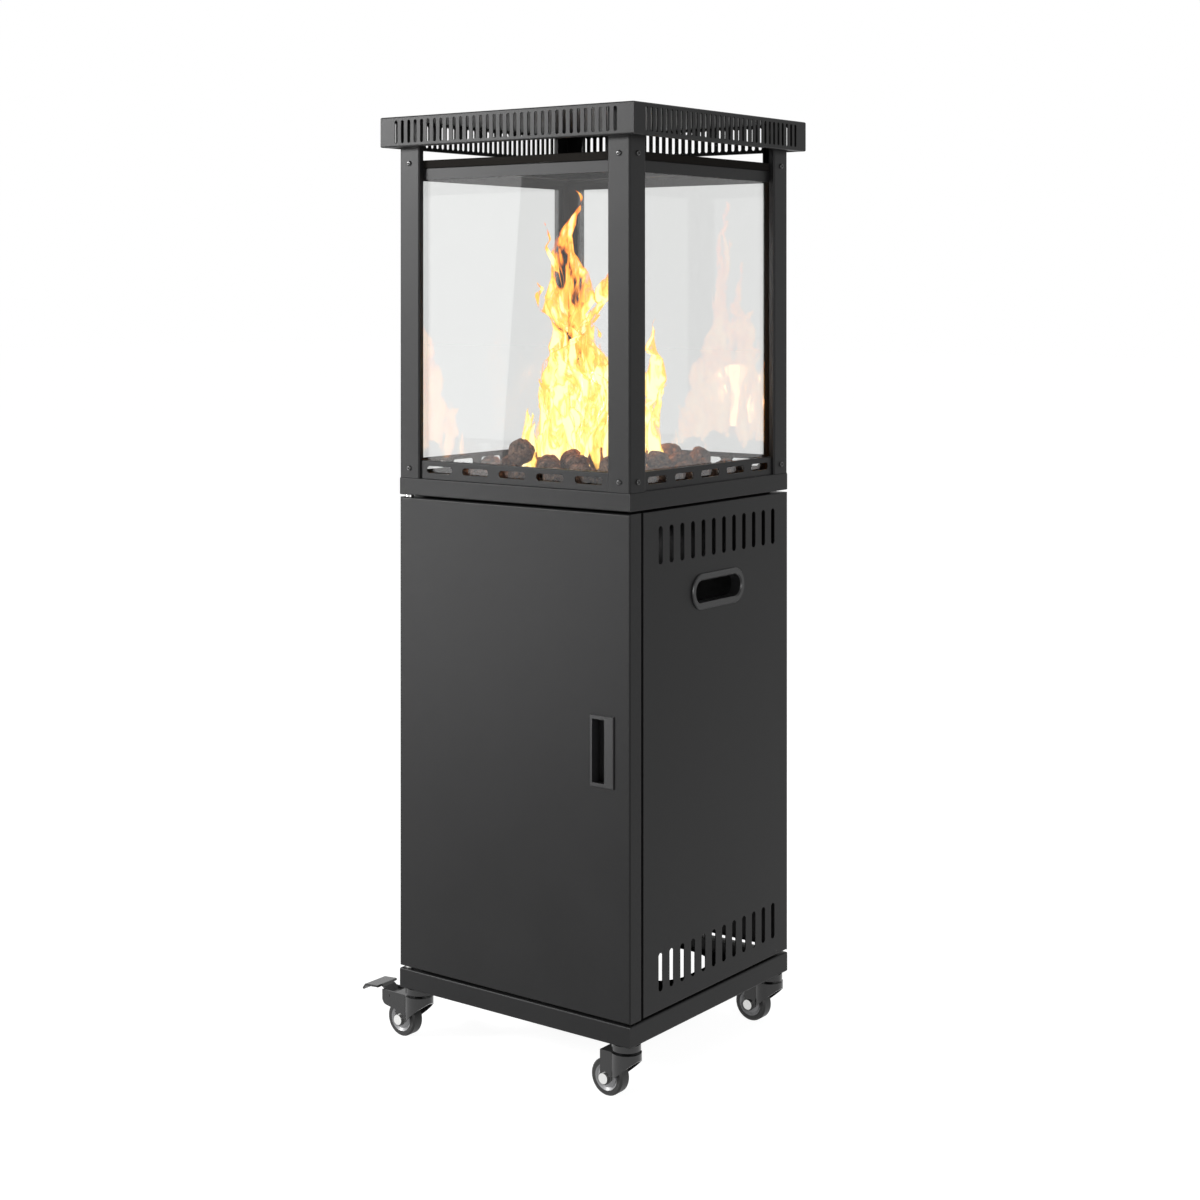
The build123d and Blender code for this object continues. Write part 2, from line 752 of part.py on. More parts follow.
side_names = ["front", "right", "back", "left"]
pieces["slotted_sills"] = Compound(quarter_turns(sill()))


# Glass panes stand on the collar inside the sills and reach up behind the head rail
def glass_pane():
    low = collar_top
    high = rail_bottom + glass_cover
    return span_box((-glass_width / 2, -glass_face, low), (glass_width / 2, -glass_back, high))


for name, pane in zip(side_names, quarter_turns(glass_pane())):
    pieces[name + "_glass"] = pane


# Corner beads clamp the edges of two panes inside each post
def corner_bead():
    edge = glass_back - seat
    outline = [(edge - bead_leg, -edge), (edge, -edge), (edge, -edge + bead_leg)]
    return Pos(0, 0, collar_top) * extrude(folded(outline, thin_sheet, 2.0), rail_bottom - collar_top)


pieces["corner_beads"] = Compound(quarter_turns(corner_bead()))


# Head rail and ceiling plate with the flue opening above the flame
def head_rail():
    half = half_x - rail_setback
    outline = [(rail_flange, rail_height), (0, rail_height), (0, 0)]
    return framed(outline, sheet, half, half, rail_bottom, tight_bend)


def ceiling_plate():
    half = half_x - rail_setback
    outline = [(rail_flange, ceiling_height), (0, ceiling_height), (0, 0)]
    rim = framed(outline, sheet, half, half, rail_top, tight_bend)
    inner = half - rail_flange + 2 * bend
    plate = span_box((-inner, -inner, ceiling_top - sheet), (inner, inner, ceiling_top))
    flue = extrude(RectangleRounded(flue_size, flue_size, flue_corner), 2 * sheet, both=True)
    plate -= Pos(0, 0, ceiling_top) * flue
    return rim + plate


pieces["head_rail"] = head_rail()
pieces["ceiling_plate"] = ceiling_plate()


# Hood: one folded lid with a lip round its rim and a row of slots in each side
def hood():
    rim = framed([(6 * bend, hood_height), (0, hood_height), (0, 0), (hood_lip, 0)], sheet,
                 hood_half_x, hood_half_y, hood_bottom)
    inner_x = hood_half_x - 4 * bend
    inner_y = hood_half_y - 4 * bend
    lid = rim + span_box((-inner_x, -inner_y, roof_under), (inner_x, inner_y, roof_top))
    slot = extrude(slot_face(hood_slot_length, hood_slot_width), 3 * sheet, both=True)
    cuts = []
    for count in range(hood_slots):
        offset = (count - (hood_slots - 1) / 2) * hood_slot_pitch
        for side in (-1, 1):
            front = Plane((0, side * hood_half_y, 0), x_dir=(1, 0, 0), z_dir=(0, -1, 0))
            flank = Plane((side * hood_half_x, 0, 0), x_dir=(0, 1, 0), z_dir=(1, 0, 0))
            cuts.append(front * Pos(offset, hood_bottom + hood_slot_rise, 0) * slot)
            cuts.append(flank * Pos(offset, hood_bottom + hood_slot_rise, 0) * slot)
    return lid - cuts


pieces["hood"] = hood()


# Screw heads on both faces of each post, low into the collar and high into the ceiling plate
def post_screws():
    head = extrude(Circle(screw_head_radius), screw_head_height)
    placed = []
    for rise in (lower_screw_rise, upper_screw_rise):
        for side in (-1, 1):
            along = side * (half_x - screw_inset)
            one = Pos(along, -half_y, collar_top + rise) * Rot(90, 0, 0) * head
            placed += quarter_turns(one)
    return Compound(placed)


pieces["post_screws"] = post_screws()


# Swivel casters: stem with fixed race, fork, axle, hub and tyre, and a brake pedal on the left pair
def caster_stem():
    top = base_bottom + sheet + nut_height + 2
    crown_under = base_bottom - fork_drop - fork_sheet
    rivet = crown_under - rivet_height
    return turned([(0, rivet), (rivet_radius, rivet), (rivet_radius, crown_under - seat),
                   (stem_radius, crown_under - seat), (stem_radius, base_bottom - race_height),
                   (race_radius, base_bottom - race_height), (race_radius, base_bottom),
                   (stem_radius, base_bottom), (stem_radius, top), (0, top)])


def caster_nut():
    nut = extrude(RegularPolygon(nut_flats / 2, 6, major_radius=False), nut_height)
    return Pos(0, 0, base_bottom + sheet) * (nut - Cylinder(stem_radius + running, 4 * nut_height))


def fork(braked):
    crown = base_bottom - fork_drop
    axle_x = -caster_trail
    back = axle_x - fork_boss_radius + 2
    half_width = wheel_width / 2 + wheel_side_gap + fork_sheet
    boss = Pos(axle_x, axle_height) * Circle(fork_boss_radius)
    ear_back = -brake_ear_back if braked else -fork_back
    ear_low = crown - (brake_ear_drop if braked else fork_front_drop)
    shoulder = make_face(Polyline(
        (ear_back, crown), (fork_crown_radius, crown), (fork_crown_radius, crown - fork_front_drop),
        (axle_x + fork_boss_radius * 0.6, axle_height - fork_boss_radius * 0.8), (back, axle_height),
        (-fork_back, ear_low - 4), (ear_back, ear_low), close=True).edges())
    profile = shoulder + boss
    if braked:
        profile = fillet(profile.vertices().group_by(Axis.X)[0].sort_by(Axis.Y)[0], brake_ear_drop * 0.45)
    side = Plane((0, 0, 0), x_dir=(1, 0, 0), z_dir=(0, -1, 0))
    outer = extrude(side * profile, fork_crown_radius, both=True)
    plan = Circle(fork_crown_radius) + Pos(-fork_back, 0) * Rectangle(
        2 * fork_back, 2 * half_width) + Pos(-fork_back * 1.5, 0) * Rectangle(fork_back, 2 * half_width)
    outer = outer & extrude(plan, base_bottom)
    hollow_half = half_width - fork_sheet
    hollow_plan = Circle(fork_crown_radius - fork_sheet) + Pos(-fork_back * 1.5, 0) * Rectangle(
        3 * fork_back, 2 * hollow_half)
    hollow = extrude(hollow_plan, crown - fork_sheet)
    body = outer - hollow
    body -= Pos(0, 0, crown) * Cylinder(stem_radius + running, 6 * fork_sheet)
    body -= Pos(axle_x, 0, axle_height) * Rot(90, 0, 0) * Cylinder(axle_radius + running, 4 * half_width)
    if braked:
        pin = Pos(-pedal_pin_back, 0, crown - pedal_pin_drop + fork_drop) * Rot(90, 0, 0)
        body -= pin * Cylinder(pedal_pin_radius + running, 4 * half_width)
        slot = span_box((-2 * fork_back, -hollow_half, crown - 3 * fork_sheet),
                        (-pedal_pin_back + 12, hollow_half, crown + 1))
        body -= slot
    return body


def axle():
    half_width = wheel_width / 2 + wheel_side_gap + fork_sheet
    outer = half_width + axle_cap_height
    pin = turned([(0, -outer), (axle_cap_radius, -outer), (axle_cap_radius, -half_width),
                  (axle_radius, -half_width), (axle_radius, half_width), (axle_cap_radius, half_width),
                  (axle_cap_radius, outer), (0, outer)])
    return Pos(-caster_trail, 0, axle_height) * Rot(90, 0, 0) * pin


def hub():
    rim = wheel_radius - tyre_section
    half = wheel_width / 2
    dish = 3.0
    disc = turned([(axle_radius + running, -half), (rim * 0.45, -half), (rim * 0.8, -half + dish),
                   (rim, -half + 1), (rim, half - 1), (rim * 0.8, half - dish), (rim * 0.45, half),
                   (axle_radius + running, half)])
    return Pos(-caster_trail, 0, axle_height) * Rot(90, 0, 0) * disc


def tyre():
    rim = wheel_radius - tyre_section
    half = wheel_width / 2
    bore = rim + running
    ring = turned([(bore, -half + 1), (wheel_radius - tyre_shoulder, -half + 1),
                   (wheel_radius, -half + 1 + tyre_shoulder), (wheel_radius, half - 1 - tyre_shoulder),
                   (wheel_radius - tyre_shoulder, half - 1), (bore, half - 1)])
    return Pos(-caster_trail, 0, axle_height) * Rot(90, 0, 0) * ring


def brake_pedal():
    crown = base_bottom - fork_drop
    pin_z = crown - pedal_pin_drop + fork_drop
    clear = wheel_width / 2 + wheel_side_gap - 0.4
    lever = [(-pedal_pin_back + 8, pin_z + 1), (-pedal_pin_back, pin_z + 3),
             (-pedal_pin_back - 10, crown + 3), (-pedal_pin_back - 15, crown + 6),
             (-pedal_reach + 5, crown + 4), (-pedal_reach, crown - 3)]
    blade = folded(lever, pedal_thickness, pedal_thickness + 0.3)
    side = Plane((0, 0, 0), x_dir=(1, 0, 0), z_dir=(0, -1, 0))
    lever_solid = extrude(side * blade, pedal_width / 2, both=True)
    cut = span_box((-brake_ear_back - 3, clear, 0), (0, pedal_width, base_bottom))
    lever_solid = lever_solid - cut - mirror(cut, about=Plane.XZ)
    half_width = wheel_width / 2 + wheel_side_gap + fork_sheet
    pin = Pos(-pedal_pin_back, 0, pin_z) * Rot(90, 0, 0) * Cylinder(pedal_pin_radius, 2 * half_width + 1)
    return lever_solid + pin


caster_places = {
    "front_right": (caster_x, -caster_y, False),
    "front_left": (-caster_x, -caster_y, True),
    "back_right": (caster_x, caster_y, False),
    "back_left": (-caster_x, caster_y, True),
}
stems = []
nuts = []
for name, (x, y, braked) in caster_places.items():
    here = Pos(x, y, 0)
    stems.append(here * caster_stem())
    nuts.append(here * caster_nut())
    pieces[name + "_fork"] = here * fork(braked)
    pieces[name + "_axle"] = here * axle()
    pieces[name + "_hub"] = here * hub()
    pieces[name + "_tyre"] = here * tyre()
    if braked:
        pieces[name + "_brake_pedal"] = here * brake_pedal()
pieces["caster_stems"] = Compound(stems)
pieces["caster_nuts"] = Compound(nuts)

os.makedirs("parts", exist_ok=True)
for name, piece in pieces.items():
    solids = piece.solids()
    export_step(Compound([Pos(plan_shift, 0, 0) * solid for solid in solids]), "parts/" + name + ".step")
print(len(pieces), "pieces, plan shift", round(plan_shift, 3))
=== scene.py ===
# %% [markdown]
# A square gas patio heater, dressed for a studio picture
#
# The sheet-metal cabinet, posts, hood and casters come in as a finished frame. This lesson gives them
# their powder coat, glass and rubber, and models what a flat sheet drawing leaves out: screw heads with
# their sockets, rough lava stones and the flames. Everything new sits on the frame's own measured places,
# so the picture stays true if the frame is packed again.

# %% Load the frame and keep its size
import bpy
import math
import random
from mathutils import Matrix, Vector


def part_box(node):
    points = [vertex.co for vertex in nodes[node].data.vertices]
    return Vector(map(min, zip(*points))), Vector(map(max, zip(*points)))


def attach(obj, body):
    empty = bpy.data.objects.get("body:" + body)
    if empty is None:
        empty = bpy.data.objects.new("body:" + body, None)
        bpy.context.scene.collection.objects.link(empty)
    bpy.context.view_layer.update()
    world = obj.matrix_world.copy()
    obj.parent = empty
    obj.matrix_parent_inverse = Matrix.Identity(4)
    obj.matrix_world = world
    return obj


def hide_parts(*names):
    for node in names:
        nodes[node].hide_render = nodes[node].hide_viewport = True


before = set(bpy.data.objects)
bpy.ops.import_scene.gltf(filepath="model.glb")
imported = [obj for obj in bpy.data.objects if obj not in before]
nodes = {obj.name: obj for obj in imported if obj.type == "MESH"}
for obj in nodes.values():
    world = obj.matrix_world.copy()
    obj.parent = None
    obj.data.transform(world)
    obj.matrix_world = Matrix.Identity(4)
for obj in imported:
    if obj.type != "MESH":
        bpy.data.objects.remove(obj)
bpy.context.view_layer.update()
MM = 0.001


# %% [markdown]
# Places are read from the frame and not typed in. The cabinet's centre line is the middle of the door. The
# flames stand on the top of the burner and reach towards the underside of the ceiling plate.

# %% Measure the frame
def middle(node):
    low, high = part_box(node)
    return (low + high) / 2


axis_x = middle("door_panel").x
burner_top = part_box("burner")[1].z
ceiling_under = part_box("ceiling_plate")[0].z
print("centre line at x", round(axis_x, 4))
print("burner top at", round(burner_top, 4), "and ceiling at", round(ceiling_under, 4))


# %% [markdown]
# Operators act on whatever is selected, so every new piece starts from an empty selection. When a piece is
# finished, settle moves its place into its mesh, which leaves the object at the origin, unturned and
# unscaled. A finish can be put on one new piece with dress, or on several of the frame's nodes at once
# with paint.

# %% Modelling helpers
def nothing_selected():
    if bpy.context.object and bpy.context.object.mode != "OBJECT":
        bpy.ops.object.mode_set(mode="OBJECT")
    bpy.ops.object.select_all(action="DESELECT")


def take(piece):
    nothing_selected()
    piece.select_set(True)
    bpy.context.view_layer.objects.active = piece


def settle(piece, name):
    """Name the piece and move its place, turn and size into its mesh."""
    take(piece)
    bpy.ops.object.transform_apply(location=True, rotation=True, scale=True)
    piece.name = name
    piece.data.name = name
    return piece


def join(pieces, name):
    take(pieces[0])
    for piece in pieces:
        piece.select_set(True)
    bpy.ops.object.join()
    return settle(bpy.context.object, name)


def apply_modifier(piece, kind, **settings):
    take(piece)
    modifier = piece.modifiers.new(kind.title(), kind)
    for key, value in settings.items():
        setattr(modifier, key, value)
    bpy.ops.object.modifier_apply(modifier=modifier.name)


def dress(piece, material):
    piece.data.materials.clear()
    piece.data.materials.append(material)


def paint(material, *names):
    for name in names:
        dress(nodes[name], material)
    print(material.name, "on", len(names), "nodes")


# %% [markdown]
# Powder coat, plastic, rubber and bare metal are never quite even. A broad mottle shifts the colour and
# the shine a little, and a fine grain lifts the surface. An image could show that, but noise on Object
# coordinates needs no file and has no seams. The effect is the same on every finish, so it is one node
# group, "Fine grain", with named inputs, and each material places it with its own values.

# %% The fine grain group
fine_detail = 3
mottle_scale = 9
mottle_detail = 4


def build_grain_group():
    group = bpy.data.node_groups.new("Fine grain", "ShaderNodeTree")
    sockets = group.interface
    colour = sockets.new_socket("Colour", in_out="INPUT", socket_type="NodeSocketColor")
    colour.default_value = (0.05, 0.05, 0.05, 1)
    numbers = (("Grain size", 300.0), ("Mottle", 0.1), ("Roughness", 0.45), ("Roughness spread", 0.05))
    for label, value in numbers:
        socket = sockets.new_socket(label, in_out="INPUT", socket_type="NodeSocketFloat")
        socket.default_value = value
    sockets.new_socket("Colour", in_out="OUTPUT", socket_type="NodeSocketColor")
    sockets.new_socket("Roughness", in_out="OUTPUT", socket_type="NodeSocketFloat")
    sockets.new_socket("Height", in_out="OUTPUT", socket_type="NodeSocketFloat")
    nodes_in = group.nodes.new("NodeGroupInput")
    nodes_out = group.nodes.new("NodeGroupOutput")
    place = group.nodes.new("ShaderNodeTexCoord")
    fine = group.nodes.new("ShaderNodeTexNoise")
    fine.inputs["Detail"].default_value = fine_detail
    broad = group.nodes.new("ShaderNodeTexNoise")
    broad.inputs["Scale"].default_value = mottle_scale
    broad.inputs["Detail"].default_value = mottle_detail
    shade = group.nodes.new("ShaderNodeMath")
    shade.operation = "MULTIPLY_ADD"
    centred = group.nodes.new("ShaderNodeMath")
    centred.operation = "SUBTRACT"
    centred.inputs[1].default_value = 0.5
    tint = group.nodes.new("ShaderNodeMix")
    tint.data_type = "RGBA"
    tint.blend_type = "MULTIPLY"
    tint.inputs["Factor"].default_value = 1
    scaled = group.nodes.new("ShaderNodeMath")
    scaled.operation = "MULTIPLY_ADD"
    scaled.inputs[2].default_value = 1
    link = group.links.new
    link(place.outputs["Object"], fine.inputs["Vector"])
    link(place.outputs["Object"], broad.inputs["Vector"])
    link(nodes_in.outputs["Grain size"], fine.inputs["Scale"])
    link(broad.outputs["Fac"], centred.inputs[0])
    link(centred.outputs[0], scaled.inputs[0])
    link(nodes_in.outputs["Mottle"], scaled.inputs[1])
    link(nodes_in.outputs["Colour"], tint.inputs["A"])
    link(scaled.outputs[0], tint.inputs["B"])
    link(tint.outputs["Result"], nodes_out.inputs["Colour"])
    link(centred.outputs[0], shade.inputs[0])
    link(nodes_in.outputs["Roughness spread"], shade.inputs[1])
    link(nodes_in.outputs["Roughness"], shade.inputs[2])
    link(shade.outputs[0], nodes_out.inputs["Roughness"])
    link(fine.outputs["Fac"], nodes_out.inputs["Height"])
    return group


grain_group = build_grain_group()


def grained(name, colour, roughness, metallic=0.0, grain=300.0, mottle=0.1, spread=0.05, bump=0.05,
            specular=0.5):
    """A material whose colour, shine and fine relief come from the grain group."""
    material = bpy.data.materials.new(name)
    material.use_nodes = True
    tree = material.node_tree
    shader = tree.nodes["Principled BSDF"]
    shader.inputs["Metallic"].default_value = metallic
    shader.inputs["Specular IOR Level"].default_value = specular
    source = tree.nodes.new("ShaderNodeGroup")
    source.node_tree = grain_group
    source.inputs["Colour"].default_value = (*colour, 1)
    source.inputs["Grain size"].default_value = grain
    source.inputs["Mottle"].default_value = mottle
    source.inputs["Roughness"].default_value = roughness
    source.inputs["Roughness spread"].default_value = spread
    relief = tree.nodes.new("ShaderNodeBump")
    relief.inputs["Strength"].default_value = bump
    relief.inputs["Distance"].default_value = MM
    tree.links.new(source.outputs["Colour"], shader.inputs["Base Color"])
    tree.links.new(source.outputs["Roughness"], shader.inputs["Roughness"])
    tree.links.new(source.outputs["Height"], relief.inputs["Height"])
    tree.links.new(relief.outputs["Normal"], shader.inputs["Normal"])
    return material


print("group", grain_group.name, "with", len(grain_group.nodes), "shader nodes")


# %% [markdown]
# The cabinet and the chamber frame carry the same charcoal powder coat: nearly black, satin, with a slight
# orange-peel grain. It is a paint, so it isn't metallic, and its highlights are broad and pale. The
# ceiling over the flames shows darker and duller, so it, the tray, the beads and the fascia behind the
# door get a matt coat with almost no shine.

# %% Powder coat on every sheet-metal piece
charcoal = (0.008, 0.008, 0.0082)
powder_coat = grained("Charcoal powder coat", charcoal, 0.4, grain=900, mottle=0.4, spread=0.08, bump=0.12,
                      specular=0.14)
dark_coat = grained("Inner powder coat", (0.011, 0.01, 0.009), 0.8, grain=900, mottle=0.4, bump=0.1,
                    specular=0.02)
posts = ["front_right_post", "back_right_post", "back_left_post", "front_left_post"]
paint(powder_coat, "base_tray", "right_side_panel", "left_side_panel", "rear_panel", "door_panel", "collar",
      "slotted_sills", "head_rail", "hood", *posts)
paint(dark_coat, "control_fascia", "ceiling_plate", "corner_beads", "fire_tray")

# %% [markdown]
# The carry handles, the door pull and the controls are moulded in black plastic, a little smoother than
# the coat beside them. The caster forks, pedals and screws are steel under a thin black coat, which shines
# more than the powder coat. Zinc plate, brass and burner steel are bare metals, so their metallic input is
# 1 and their colour is the colour of the reflection.

# %% Plastic, metals and rubber
moulded = grained("Moulded black plastic", (0.012, 0.012, 0.0125), 0.3, grain=1500, mottle=0.2, bump=0.05,
                  specular=0.3)
zinc = grained("Zinc-plated steel", (0.62, 0.62, 0.61), 0.3, metallic=1, grain=700, mottle=0.2, bump=0.05)
dark_steel = grained("Black-coated steel", (0.009, 0.009, 0.0092), 0.24, grain=900, mottle=0.2)
burner_steel = grained("Heat-stained steel", (0.3, 0.25, 0.21), 0.45, metallic=1, grain=200, mottle=0.6)
brass = grained("Satin brass", (0.72, 0.5, 0.2), 0.35, metallic=1, grain=500, mottle=0.15)
hub_grey = grained("Grey hub plastic", (0.2, 0.2, 0.205), 0.35, grain=1200, mottle=0.15)
rubber = grained("Black rubber tread", (0.008, 0.008, 0.008), 0.5, grain=1600, mottle=0.1, bump=0.2,
                 specular=0.35)
corners = ["front_right", "front_left", "back_right", "back_left"]
paint(moulded, "right_carry_handle", "left_carry_handle", "door_pull", "control_knob", "igniter_barrel",
      "igniter_button", "door_magnet")
paint(zinc, "door_pivot_pins", "door_strike_plate", "caster_nuts")
paint(dark_steel, *[corner + "_fork" for corner in corners], "caster_stems",
      "front_left_brake_pedal", "back_left_brake_pedal")
paint(zinc, *[corner + "_axle" for corner in corners])
paint(burner_steel, "burner", "mixing_tube", "ignition_electrode", "flame_sensor")
paint(brass, "gas_valve", "valve_spindle", "gas_inlet", "feed_pipe")
paint(hub_grey, *[corner + "_hub" for corner in corners])
paint(rubber, *[corner + "_tyre" for corner in corners])

# %% [markdown]
# The panes are 4 mm toughened glass with a faint grey tint. The main shader's own transmission gives the
# clear view and the mirror images. Lamp light that has to find its way through real glass is slow and
# noisy to render, so shadow rays and stray diffuse rays pass straight through, and the light reaches the
# stones.

# %% Glass panes
pane_tint = (0.85, 0.855, 0.85)
light_let_through = (0.9, 0.9, 0.9)


def build_glass():
    material = bpy.data.materials.new("Toughened glass")
    material.use_nodes = True
    tree = material.node_tree
    glass = tree.nodes["Principled BSDF"]
    glass.inputs["Base Color"].default_value = (*pane_tint, 1)
    glass.inputs["Transmission Weight"].default_value = 1
    glass.inputs["Roughness"].default_value = 0
    glass.inputs["IOR"].default_value = 1.5
    clear = tree.nodes.new("ShaderNodeBsdfTransparent")
    clear.inputs["Color"].default_value = (*light_let_through, 1)
    rays = tree.nodes.new("ShaderNodeLightPath")
    passes = tree.nodes.new("ShaderNodeMath")
    passes.operation = "MAXIMUM"
    mix = tree.nodes.new("ShaderNodeMixShader")
    out = tree.nodes["Material Output"]
    tree.links.new(rays.outputs["Is Shadow Ray"], passes.inputs[0])
    tree.links.new(rays.outputs["Is Diffuse Ray"], passes.inputs[1])
    tree.links.new(passes.outputs[0], mix.inputs["Fac"])
    tree.links.new(glass.outputs[0], mix.inputs[1])
    tree.links.new(clear.outputs[0], mix.inputs[2])
    tree.links.new(mix.outputs[0], out.inputs["Surface"])
    return material


pane_glass = build_glass()
paint(pane_glass, "front_glass", "right_glass", "back_glass", "left_glass")

# %% [markdown]
# Each post is held by button-head screws with a socket. The frame has plain discs for them. A head is
# modelled from a cylinder: its top edge is bevelled into a dome, and the flat that is left is inset and
# pushed down for the socket. The discs are all of one size, so one head is modelled, in the size of the
# first disc, and a copy with a mesh of its own is turned outwards on each. They are joined into one piece.

# %% Screw heads with sockets
def islands(node):
    """The separate solids of a CAD node, each as the lowest and highest corner of its box."""
    mesh = nodes[node].data
    spot = {}
    group_of = list(range(len(mesh.vertices)))

    def root(index):
        while group_of[index] != index:
            group_of[index] = group_of[group_of[index]]
            index = group_of[index]
        return index

    for vertex in mesh.vertices:
        key = tuple(round(value, 6) for value in vertex.co)
        if key in spot:
            group_of[root(vertex.index)] = root(spot[key])
        else:
            spot[key] = vertex.index
    for edge in mesh.edges:
        group_of[root(edge.vertices[0])] = root(edge.vertices[1])
    boxes = {}
    for vertex in mesh.vertices:
        boxes.setdefault(root(vertex.index), []).append(vertex.co)
    found = []
    for points in boxes.values():
        low = Vector([min(point[axis] for point in points) for axis in range(3)])
        high = Vector([max(point[axis] for point in points) for axis in range(3)])
        found.append((low, high))
    return sorted(found, key=lambda box: tuple(round(value, 5) for value in box[0]))


dome_share = 0.7           # of the head's height
socket_rim_share = 0.18    # of its radius
socket_depth_share = 0.75  # of its height


def pick_faces_up(piece, least_up):
    """In edit mode, select only the faces whose normal points up by more than this."""
    bpy.ops.mesh.select_mode(type="FACE")
    bpy.ops.mesh.select_all(action="DESELECT")
    bpy.ops.object.mode_set(mode="OBJECT")
    for face in piece.data.polygons:
        face.select = face.normal.z > least_up
    bpy.ops.object.mode_set(mode="EDIT")


def screw_head(radius, height):
    nothing_selected()
    bpy.ops.mesh.primitive_cylinder_add(vertices=24, radius=radius, depth=height)
    head = bpy.context.object
    bpy.ops.object.mode_set(mode="EDIT")
    pick_faces_up(head, 0.9)
    bpy.ops.mesh.bevel(offset=height * dome_share, segments=3, affect="EDGES")
    pick_faces_up(head, 0.99)
    bpy.ops.mesh.inset(thickness=radius * socket_rim_share)
    bpy.ops.mesh.extrude_region_move(TRANSFORM_OT_translate={"value": (0, 0, -height * socket_depth_share)})
    bpy.ops.object.mode_set(mode="OBJECT")
    return head


discs = islands("post_screws")
disc_size = discs[0][1] - discs[0][0]
pattern = screw_head(max(disc_size) / 2, min(disc_size))
screws = []
for low, high in discs:
    size = high - low
    centre = (low + high) / 2
    thin = min(range(3), key=lambda axis: size[axis])
    outward = Vector((0, 0, 0))
    outward[thin] = math.copysign(1, centre[thin] - (axis_x if thin == 0 else 0))
    take(pattern)
    bpy.ops.object.duplicate(linked=False)
    head = bpy.context.object
    head.matrix_world = Matrix.Translation(centre) @ outward.to_track_quat("Z", "Y").to_matrix().to_4x4()
    screws.append(settle(head, "screw"))
bpy.data.objects.remove(pattern)
screw_heads = join(screws, "post_screw_heads")
bpy.ops.object.shade_smooth_by_angle(angle=math.radians(35))
dress(screw_heads, dark_steel)
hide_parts("post_screws")
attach(screw_heads, "heater_frame")
print(len(screws), "screw heads")

# %% [markdown]
# Lava stones are rough, porous lumps. The frame holds each as a faceted ball, which gives its place and
# size. They could be sculpted one by one, but there are dozens. Here a finely divided ball of the same
# size stands for each, all are joined, and two noises push the whole bed in and out: a broad one for the
# lumps and a fine one for the pores. Because the noise is laid out in space, no two stones come out alike.

# %% Lava stones
def stone_material():
    """Pores and grain come from one noise: its low values are deep and painted near black as shade in the
    pores, its high ones are the stone's own pale brown and stand proud.
    """
    material = bpy.data.materials.new("Lava stone")
    material.use_nodes = True
    tree = material.node_tree
    shader = tree.nodes["Principled BSDF"]
    shader.inputs["Roughness"].default_value = 0.92
    shader.inputs["Specular IOR Level"].default_value = 0.2
    place = tree.nodes.new("ShaderNodeTexCoord")
    pores = tree.nodes.new("ShaderNodeTexNoise")
    pores.inputs["Scale"].default_value = 190
    pores.inputs["Detail"].default_value = 6
    pores.inputs["Roughness"].default_value = 0.72
    tone = tree.nodes.new("ShaderNodeValToRGB")
    stops = tone.color_ramp.elements
    # The near-black first stop is painted shade in the deep pores; the middle and pale stops are the stone's
    # own brown.
    stops[0].position, stops[0].color = 0.36, (0.012, 0.008, 0.007, 1)
    stops[1].position, stops[1].color = 0.7, (0.4, 0.25, 0.17, 1)
    stops.new(0.52).color = (0.13, 0.078, 0.056, 1)
    relief = tree.nodes.new("ShaderNodeBump")
    relief.inputs["Strength"].default_value = 1
    relief.inputs["Distance"].default_value = 5 * MM
    tree.links.new(place.outputs["Object"], pores.inputs["Vector"])
    tree.links.new(pores.outputs["Fac"], tone.inputs["Fac"])
    tree.links.new(tone.outputs["Color"], shader.inputs["Base Color"])
    tree.links.new(pores.outputs["Fac"], relief.inputs["Height"])
    tree.links.new(relief.outputs["Normal"], shader.inputs["Normal"])
    return material


stone_share = 0.98  # of the faceted ball's size, to leave room for the relief
stone_relief = (
    # texture, width of its bumps, depth
    ("Stone lumps", 0.022, 0.011),
    ("Stone pores", 0.005, 0.0028),
)
stones = []
for low, high in islands("lava_rocks"):
    nothing_selected()
    bpy.ops.mesh.primitive_ico_sphere_add(subdivisions=4, radius=0.5, location=(low + high) / 2)
    stone = bpy.context.object
    stone.scale = (high - low) * stone_share
    stones.append(settle(stone, "stone"))
lava_stones = join(stones, "lava_stones")
for label, width, depth in stone_relief:
    noise = bpy.data.textures.new(label, "CLOUDS")
    noise.noise_scale = width
    noise.noise_depth = 2
    apply_modifier(lava_stones, "DISPLACE", texture=noise, strength=depth, mid_level=0.5,
                   texture_coords="LOCAL")
take(lava_stones)
bpy.ops.object.shade_smooth_by_angle(angle=math.radians(50))
dress(lava_stones, stone_material())
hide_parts("lava_rocks")
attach(lava_stones, "heater_frame")
print(len(stones), "lava stones,", len(lava_stones.data.polygons), "faces")

# %% [markdown]
# A flame has no surface, but its glow has a clear shape. It could be a volume, but thin shells that glow
# are quick to render and keep crisp edges. The shell fades towards its outline and is broken by upright
# streaks, so that overlapping tongues build up to a bright core. Its colour runs from pale yellow, where
# it is dense and low, to orange at the tips. In the photograph the panes mirror the flames more strongly
# and more redly than this glass does by itself, so a ray that comes off a mirror meets a brighter and
# warmer glow. The choice is made on Is Reflection Ray, because Is Glossy Ray is also on behind a clear
# pane.

# %% The flame material
flame_strength = 1.9
mirrored_strength = 4.5
mirrored_tint = (1, 0.5, 0.25)


